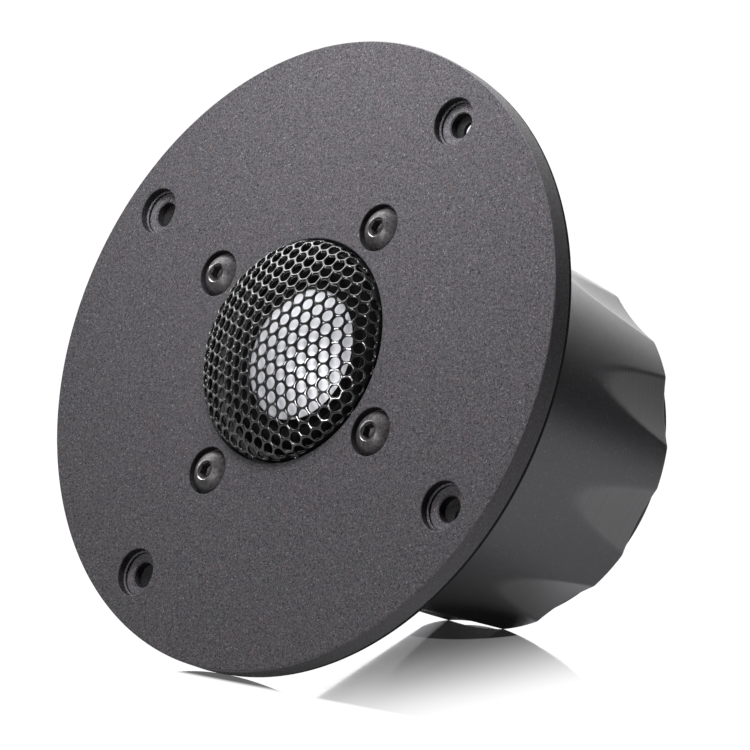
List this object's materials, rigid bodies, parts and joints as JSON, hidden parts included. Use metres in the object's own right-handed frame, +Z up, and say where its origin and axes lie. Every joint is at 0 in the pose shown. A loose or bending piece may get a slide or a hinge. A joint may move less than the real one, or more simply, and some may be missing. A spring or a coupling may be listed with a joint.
{
  "type": "dome tweeter",
  "caption": "Flange-mounted dome tweeter with a domed hexagonal grille, textured round front plate and tapered, fluted rear housing.",
  "frame": {"origin": "centre of the mounting plane, where the baffle gasket's back face meets the panel", "axes": "-Y out of the grille towards the listener, +Y back through the panel to the terminals, +Z up, +X to the right seen from the front"},
  "size_m": [0.11, 0.0808, 0.11],
  "materials": {
    "textured_coat": "fine-grained textured powder coat with a faint sparkle",
    "foam": "black closed-cell foam",
    "grille_black": "gloss black, bright on the edges",
    "black_steel": "blackened steel, satin",
    "silver_dome": "bright satin metal",
    "surround_cloth": "coated black cloth",
    "moulded_plastic": "matt moulded plastic",
    "former_film": "amber film",
    "copper": "copper, bright",
    "plated_steel": "zinc plated",
    "ferrite": "sintered ferrite, dull dark grey",
    "felt": "grey wool felt",
    "anodised": "satin black-grey anodised, lathe turned",
    "rear_cap_black": "satin black anodised",
    "seal_rubber": "black rubber",
    "board": "brown laminate board",
    "brass": "plated brass",
    "red_wire": "red insulation",
    "black_wire": "black insulation"
  },
  "bodies": {
    "chassis": {"front_plate": "textured_coat", "baffle_gasket": "foam", "grille": "grille_black", "plate_screw_1": "black_steel", "plate_screw_2": "black_steel", "plate_screw_3": "black_steel", "plate_screw_4": "black_steel", "surround": "surround_cloth", "diaphragm_gasket": "foam", "diaphragm_frame": "moulded_plastic", "top_plate": "plated_steel", "magnet": "ferrite", "pole_yoke": "plated_steel", "pole_cap": "copper", "pole_pad": "felt", "rear_housing": "anodised", "chamber_damping": "felt", "rear_cap": "rear_cap_black", "cap_seal": "seal_rubber", "terminal_board": "board", "terminal_plus": "brass", "terminal_minus": "brass", "coil_tab_plus": "brass", "coil_tab_minus": "brass", "coil_tail_plus": "copper", "coil_tail_minus": "copper", "lead_plus": "red_wire", "lead_minus": "black_wire"},
    "diaphragm": {"dome": "silver_dome", "coil_former": "former_film", "coil_winding": "copper"}
  },
  "joints": [
    {"name": "diaphragm_travel", "type": "slide", "parent": "chassis", "child": "diaphragm", "axis": [0, -1, 0], "range_m": [-0.0005, 0.0005], "stiffness_N_per_m": 200, "deforming": ["surround", "coil_tail_plus", "coil_tail_minus"]}
  ]
}
